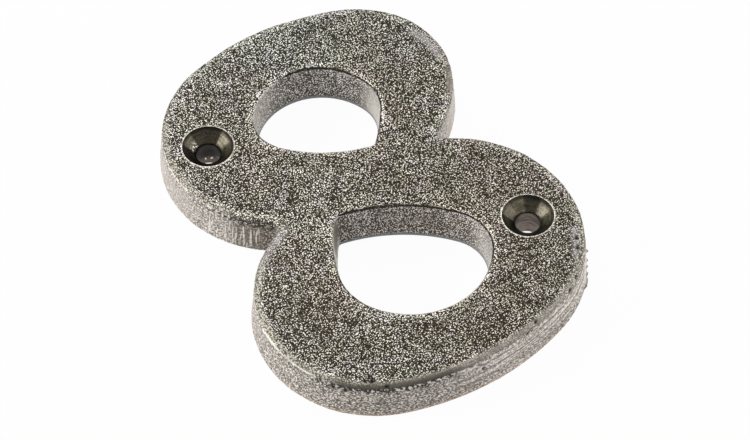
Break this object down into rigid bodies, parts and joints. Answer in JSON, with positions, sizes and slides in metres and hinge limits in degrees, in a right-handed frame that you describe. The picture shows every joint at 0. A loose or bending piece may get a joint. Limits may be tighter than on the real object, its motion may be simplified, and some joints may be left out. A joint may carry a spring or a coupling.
{
  "type": "house number numeral",
  "caption": "Sand-cast numeral eight for a door or wall, with a flat back, drafted walls, a rounded face edge, open counters and countersunk screw holes in its thick strokes.",
  "frame": {"origin": "middle of the back's bounding box, on the plane that lies against the wall or door", "axes": "+Z out of the face, +Y up the numeral as it is read, +X to its right"},
  "size_m": [0.057, 0.0776, 0.007],
  "materials": {
    "casting": "sand-cast skin with a pewter-toned, speckled wax finish and ground walls"
  },
  "bodies": {
    "root": {"number_eight": "casting"}
  },
  "joints": []
}
